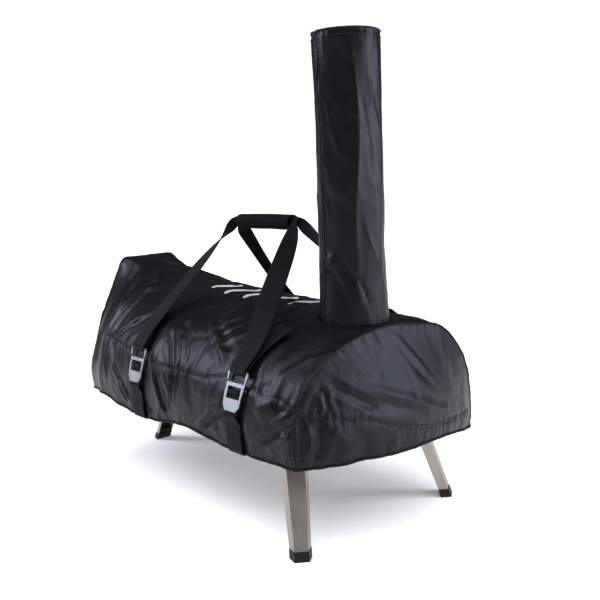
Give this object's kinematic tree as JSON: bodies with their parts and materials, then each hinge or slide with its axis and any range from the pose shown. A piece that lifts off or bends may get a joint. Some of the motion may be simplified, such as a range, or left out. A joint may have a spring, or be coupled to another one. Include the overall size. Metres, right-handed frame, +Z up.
{
  "type": "wood fired pizza oven",
  "caption": "Portable wood fired pizza oven on folding tapered legs, dressed in a fitted black cloth cover with a chimney sleeve, carry webs, a padded grip and hook buckles.",
  "frame": {"origin": "on the floor, under the middle of the bounding box", "axes": "+Z up; the mouth and the chimney are at -Y, the fuel hatch is at +Y; the near side of the names is -X"},
  "size_m": [0.4418, 0.7773, 0.8],
  "materials": {
    "stainless": "brushed stainless sheet",
    "black_coat": "matt black powder coat",
    "fibre": "white ceramic fibre blanket",
    "stone": "unglazed fired stone",
    "black_plastic": "moulded black plastic",
    "cover_cloth": "coated black polyester, slight sheen",
    "webbing": "woven black webbing",
    "grip_cloth": "padded black nylon",
    "buckle_metal": "satin silver anodised plate"
  },
  "bodies": {
    "oven": {"base_tray": "stainless", "outer_casing": "black_coat", "insulation_blanket": "fibre", "inner_liner": "stainless", "front_fascia": "stainless", "rear_wall": "black_coat", "stone_rail_left": "stainless", "stone_rail_right": "stainless", "stone_carrier": "stainless", "baking_stone": "stone", "front_shelf": "stainless", "chimney_collar": "stainless", "chimney_pipe": "stainless", "chimney_cap": "stainless", "fuel_box": "black_coat", "fuel_tray": "stainless", "fuel_grate": "stainless", "hatch_pin": "stainless", "bracket_left": "stainless", "hinge_pin_left": "stainless", "bracket_right": "stainless", "hinge_pin_right": "stainless", "bracket_rear": "stainless", "hinge_pin_rear": "stainless", "belly_strap_front": "webbing", "belly_strap_rear": "webbing"},
    "cover": {"cover_body": "cover_cloth", "chimney_sleeve": "cover_cloth", "carry_web_near": "webbing", "carry_web_far": "webbing"},
    "grip": {"grip_wrap": "grip_cloth"},
    "door": {"door_panel": "stainless", "door_post_left": "stainless", "door_post_right": "stainless", "door_grip": "black_plastic"},
    "hatch": {"hatch_lid": "black_coat", "hatch_knob": "black_coat"},
    "baffle": {"baffle_disc": "stainless", "baffle_knob": "black_coat"},
    "leg_left": {"leg_left": "stainless", "foot_cap_left": "black_plastic"},
    "leg_right": {"leg_right": "stainless", "foot_cap_right": "black_plastic"},
    "leg_rear": {"leg_rear": "stainless", "foot_cap_rear": "black_plastic"},
    "buckle_near_front": {"buckle_near_front": "buckle_metal", "strap_end_near_front": "webbing"},
    "buckle_near_rear": {"buckle_near_rear": "buckle_metal", "strap_end_near_rear": "webbing"},
    "buckle_far_front": {"buckle_far_front": "buckle_metal", "strap_end_far_front": "webbing"},
    "buckle_far_rear": {"buckle_far_rear": "buckle_metal", "strap_end_far_rear": "webbing"}
  },
  "joints": [
    {"name": "cover_lift", "type": "slide", "parent": "oven", "child": "cover", "axis": [0, 0, 1], "range_m": [0, 0.65]},
    {"name": "grip_drop", "type": "slide", "parent": "cover", "child": "grip", "axis": [0, 0, -1], "range_m": [0, 0.115], "deforming": ["carry_web_near", "carry_web_far"]},
    {"name": "swing_near_front", "type": "hinge", "parent": "cover", "child": "buckle_near_front", "pos_m": [-0.19771, -0.205, 0.28199], "axis": [0, 1, 0], "range_deg": [0, 80]},
    {"name": "swing_near_rear", "type": "hinge", "parent": "cover", "child": "buckle_near_rear", "pos_m": [-0.20317, 0.085, 0.28241], "axis": [0, 1, 0], "range_deg": [0, 80]},
    {"name": "swing_far_front", "type": "hinge", "parent": "cover", "child": "buckle_far_front", "pos_m": [0.19771, -0.205, 0.28199], "axis": [0, -1, 0], "range_deg": [0, 80]},
    {"name": "swing_far_rear", "type": "hinge", "parent": "cover", "child": "buckle_far_rear", "pos_m": [0.20317, 0.085, 0.28241], "axis": [0, -1, 0], "range_deg": [0, 80]},
    {"name": "door_off", "type": "slide", "parent": "oven", "child": "door", "axis": [0, -1, 0], "range_m": [0, 0.1]},
    {"name": "hatch_open", "type": "hinge", "parent": "oven", "child": "hatch", "pos_m": [0, 0.2275, 0.34335], "axis": [1, 0, 0], "range_deg": [0, 75]},
    {"name": "baffle_turn", "type": "hinge", "parent": "oven", "child": "baffle", "pos_m": [0, -0.2635, 0.44], "axis": [1, 0, 0], "range_deg": [0, 90]},
    {"name": "fold_left", "type": "hinge", "parent": "oven", "child": "leg_left", "pos_m": [-0.141, -0.2609, 0.168], "axis": [0.8194, -0.5732, 0], "range_deg": [0, 108]},
    {"name": "fold_right", "type": "hinge", "parent": "oven", "child": "leg_right", "pos_m": [0.141, -0.2609, 0.168], "axis": [0.8194, 0.5732, 0], "range_deg": [0, 108]},
    {"name": "fold_rear", "type": "hinge", "parent": "oven", "child": "leg_rear", "pos_m": [0, 0.2725, 0.168], "axis": [-1, 0, 0], "range_deg": [0, 118]}
  ],
  "couplings": [
    {"joint": "door_off", "follows": "cover_lift", "ratio": 0.1538},
    {"joint": "hatch_open", "follows": "cover_lift", "rad_per_m": 1.88}
  ]
}
